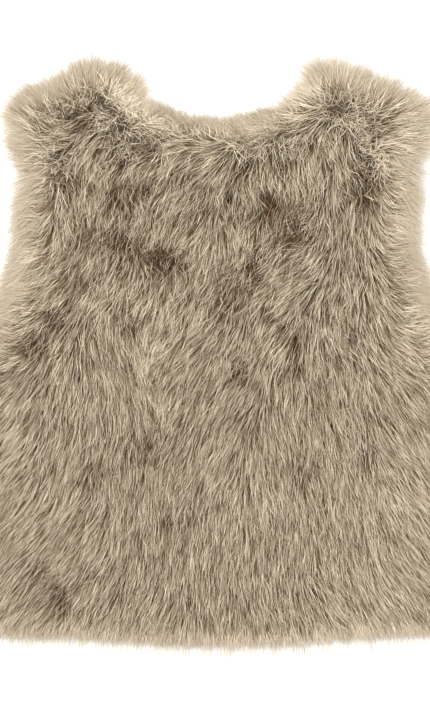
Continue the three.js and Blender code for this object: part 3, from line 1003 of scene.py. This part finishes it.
def fringe(name, panel, slot, part, seed, spacing, low, tall, hem_share):
    """Strands that stand out past the cloth's edge, in one part of it.

    low and tall are shares of the panel's thickness: where the strands start and how much
    the highest climb. hem_share is their length at the hem, as a share of the way out."""
    pile = bpy.context.scene.vest_pile
    rng = np.random.default_rng(seed)
    x, y = scatter(rng, panel, spacing)
    inside = in_cloth(panel, x, y)
    kept = (inside > -1.5 * MM) & (inside < 8 * MM) & in_part(part, x, y)
    x, y = x[kept], y[kept]
    count = len(x)
    locks = Locks(rng, panel, 2.4 * MM, x, y)
    out_x, out_y = panel.outward(x, y)
    away = np.arctan2(out_x, -out_y)
    lock_turn = radians(9) * rng.normal(0, 1, locks.count)
    lock_turn += radians(10) * soft_noise(locks.x, locks.y, 9 * MM, seed + 1)
    nap_x, nap_y = nap_field(x, y)
    lie = 0.85 * (nap_x * np.cos(away) + nap_y * np.sin(away))
    turn = away + lie + locks.spread(lock_turn) + radians(6) * rng.normal(0, 1, count)
    bend = radians(12) * rng.normal(0, 1, count)
    hem = 1 - smooth(y, -175 * MM, -130 * MM)
    neck = smooth(y, 125 * MM, 145 * MM) * (1 - smooth(np.abs(x), 50 * MM, 72 * MM))

    share = 1.08 + (hem_share - 1.08) * hem + 0.14 * smooth(y, 120 * MM, 160 * MM)
    length = way_out(panel, x, y, turn) * share
    own = rng.normal(1.0, 0.13, count)
    length *= own + 0.07 * locks.spread(rng.normal(0, 1, locks.count))
    length = np.minimum(length, pile.fringe_length * rng.uniform(1.5, 1.75, count))
    length *= 1 + tuft_field(x + out_x * length, y + out_y * length)
    rise = rng.uniform(0.0, tall, count) * locks.spread(rng.uniform(0.55, 1.2, locks.count))
    pull = locks.pull(0.45 * rng.uniform(0.3, 1.0, count))
    points = strands(x, y, turn, bend, length, (FAN_ALONG, FAN_CLIMB), low, rise, panel, pull)
    proud = FLUFF * locks.spread(rng.uniform(0, 1, locks.count)) * rng.uniform(0, 1, count)
    points[:, :, 2] += proud[:, None] * np.linspace(0, 1, len(FAN_ALONG)) ** 2

    shade = 0.575 + 0.045 * (1 + 1.6 * neck) * locks.spread(rng.normal(0, 1, locks.count))
    shade += 0.06 * (1 + 0.6 * neck) * rng.normal(0, 1, count) + 0.04 * neck
    # Painted shade on the left side, which the lamp lights most, and painted light at the left of
    # the neck; painted shade along the top edges, which face the lamp, and painted light on the
    # shoulder tops
    shade += np.where(x > 0, 0.01, -0.06)
    shade += 0.24 * neck * smooth(-x, 20 * MM, 40 * MM)
    shade -= 0.15 * np.clip(out_y, 0, 1)
    shade += 0.11 * smooth(y, 160 * MM, 178 * MM)
    tone = (0.64 - 0.15 * hem - 0.14 * neck, rng.uniform(0.84, 1.0, count))
    width = pile.fibre * rng.uniform(0.6, 1.1, count)
    grow(name, slot, points, width, shade, tone, rng, roll=0.55, taper=1.7)


class VEST_OT_fringes(bpy.types.Operator):
    """Grow the pile that stands past the edges of the back and of the fronts"""

    bl_idname = "vest.fringes"
    bl_label = "Fringes"

    def execute(self, context):
        for seed, part in enumerate(("shoulders", "left", "right", "hem"), 21):
            fringe(
                f"fringe_back_{part}", back(), "back_fur", part, seed,
                spacing=0.70 * MM, low=0.08, tall=0.9, hem_share=0.87)
            fringe(
                f"fringe_front_{part}", fronts(), "front_fur", part, seed + 10,
                spacing=1.15 * MM, low=0.15, tall=0.8, hem_share=0.70)
        return {"FINISHED"}


class VEST_OT_wisps(bpy.types.Operator):
    """Add the few fine hairs that stray past the fringe, more of them at the hem"""

    bl_idname = "vest.wisps"
    bl_label = "Stray Hairs"

    def execute(self, context):
        panel = back()
        rng = np.random.default_rng(context.scene.vest_pile.seed + 40)
        x, y = scatter(rng, panel, SPARSE)
        inside = panel.at("inside", x, y)
        hem = y < HEM_LEVEL
        kept = (inside > 1 * MM) & (inside < 9 * MM)
        kept &= rng.uniform(0, 1, len(x)) < np.where(hem, 0.6, 0.22)
        x, y, hem = x[kept], y[kept], hem[kept]
        count = len(x)
        out_x, out_y = panel.outward(x, y)
        turn = np.arctan2(out_x, -out_y)
        turn += radians(20) * (1 - 0.6 * hem) * rng.normal(0, 1, count)
        bend = radians(30) * (1 - 0.6 * hem) * rng.normal(0, 1, count)
        length = rng.uniform(8, 16, count) * MM + 8 * MM * rng.uniform(0, 1, count) ** 3
        length = np.minimum(length + 2 * MM * hem, 20 * MM)
        rise = rng.uniform(0.1, 1.0, count)
        points = strands(x, y, turn, bend, length, (FAN_ALONG, FAN_CLIMB), 0.1, rise, panel)
        shade = rng.uniform(0.45, 0.85, count)
        tone = (np.full(count, 0.6), np.full(count, 1.0))
        width = rng.uniform(0.12, 0.26, count) * MM * (1 + 0.3 * hem)
        grow("wisps_back", "back_fur", points, width, shade, tone, rng)
        return {"FINISHED"}


class VEST_OT_front_pile(bpy.types.Operator):
    """Grow the pile of both fronts, pressed flat between the backing and the table"""

    bl_idname = "vest.front_pile"
    bl_label = "Front Pile"

    def execute(self, context):
        pile = context.scene.vest_pile
        panel = fronts()
        for name, side, seed in (("pile_front_left", -1, 31), ("pile_front_right", 1, 32)):
            rng = np.random.default_rng(seed)
            x, y = scatter(rng, panel, SPARSE)
            kept = (in_cloth(panel, x, y) > 0) & (side * x > 0.5 * MM)
            x, y = x[kept], y[kept]
            count = len(x)
            locks = Locks(rng, panel, 4 * MM, x, y)
            turn = np.radians(10 * side + 12 * soft_noise(locks.x, locks.y, 16 * MM, seed))
            turn += np.radians(160) * locks.x * side
            turn = locks.spread(turn) + radians(7) * rng.normal(0, 1, count)
            bend = radians(12) * rng.normal(0, 1, count)
            length = pile.length * rng.normal(0.95, 0.1, count)
            length = np.minimum(length, way_out(panel, x, y, turn + 0.5 * bend) * 0.82)
            pull = locks.pull(0.6 * rng.uniform(0.4, 1.0, count))
            drop = -rng.uniform(0.55, 0.80, count)
            points = strands(
                x, y, turn, bend, length, (PRESSED_ALONG, PRESSED_CLIMB), 0.84, drop, panel,
                pull)
            points[:, :, 2] = np.maximum(points[:, :, 2], 0.3 * MM)
            shade = 0.5 + 0.15 * rng.normal(0, 1, count)
            tone = (np.zeros(count), rng.uniform(0.8, 1.0, count))
            width = pile.fibre * 1.8 * rng.uniform(0.7, 1.2, count)
            grow(name, "front_fur", points, width, shade, tone, rng, roll=0.3)
        return {"FINISHED"}


class VEST_OT_declare(bpy.types.Operator):
    """Leave the pieces as they are; nothing is declared here"""

    bl_idname = "vest.declare"
    bl_label = "Declare Cloth"

    def execute(self, context):
        return {"FINISHED"}


class VEST_OT_studio(bpy.types.Operator):
    """Set the camera straight above, the pale floor, one soft lamp and an even sky"""

    bl_idname = "vest.studio"
    bl_label = "Studio"

    def execute(self, context):
        studio = context.scene.vest_studio
        pile_level = 18 * MM  # height at which the photo's scale holds
        camera = bpy.data.objects.new("camera", bpy.data.cameras.new("camera"))
        context.scene.collection.objects.link(camera)
        camera.data.lens = studio.lens
        camera.data.sensor_width = 36
        camera.data.clip_end = 20
        view_high = PHOTO_HIGH * PIXEL
        distance = view_high * studio.lens / camera.data.sensor_width
        camera.location = (0, 0, distance + pile_level)
        context.scene.camera = camera
        deselect()
        bpy.ops.mesh.primitive_plane_add(size=8, location=(0, 0, 0))
        floor = context.object
        floor.name = "floor"
        floor.data.materials.append(floor_material(studio.floor_colour))
        lamp = bpy.data.lights.new("key", "AREA")
        lamp.shape = "RECTANGLE"
        lamp.size = 1.6
        lamp.size_y = 1.2
        lamp.energy = studio.key
        key = bpy.data.objects.new("key", lamp)
        context.scene.collection.objects.link(key)
        key.location = (-0.5, 0.3, 2.5)
        key.rotation_euler = (-Vector(key.location)).to_track_quat("-Z", "Y").to_euler()
        world = bpy.data.worlds.new("studio")
        context.scene.world = world
        world.use_nodes = True
        sky = world.node_tree.nodes["Background"]
        sky.inputs["Color"].default_value = (1, 1, 1, 1)
        sky.inputs["Strength"].default_value = studio.sky
        context.scene.view_settings.view_transform = "Standard"
        context.scene.view_settings.look = "None"
        return {"FINISHED"}


OPERATORS = (
    VEST_OT_studio, VEST_OT_backing, VEST_OT_back_pile, VEST_OT_fringes,
    VEST_OT_wisps, VEST_OT_front_pile, VEST_OT_declare,
)


class VEST_PT_panel(bpy.types.Panel):
    """Settings and steps of the vest"""

    bl_label = "Vest"
    bl_idname = "VEST_PT_panel"
    bl_space_type = "VIEW_3D"
    bl_region_type = "UI"
    bl_category = "Vest"

    def draw(self, context):
        for group in ("vest_pile", "vest_cloth", "vest_studio"):
            settings = getattr(context.scene, group)
            for name in settings.__annotations__:
                self.layout.prop(settings, name)
        for operator in OPERATORS:
            self.layout.operator(operator.bl_idname)


GROUPS = (
    ("vest_pile", PileSettings), ("vest_cloth", ClothSettings), ("vest_studio", StudioSettings),
)


def register():
    for name, group in GROUPS:
        bpy.utils.register_class(group)
        setattr(bpy.types.Scene, name, PointerProperty(type=group))
    for cls in (*OPERATORS, VEST_PT_panel):
        bpy.utils.register_class(cls)


def unregister():
    for cls in reversed((*OPERATORS, VEST_PT_panel)):
        bpy.utils.unregister_class(cls)
    for name, group in reversed(GROUPS):
        delattr(bpy.types.Scene, name)
        bpy.utils.unregister_class(group)


def main():
    register()
    bpy.ops.vest.studio()
    bpy.ops.vest.backing()
    bpy.ops.vest.back_pile()
    bpy.ops.vest.fringes()
    bpy.ops.vest.wisps()
    bpy.ops.vest.front_pile()
    bpy.ops.vest.declare()


if __name__ == "__main__":
    main()
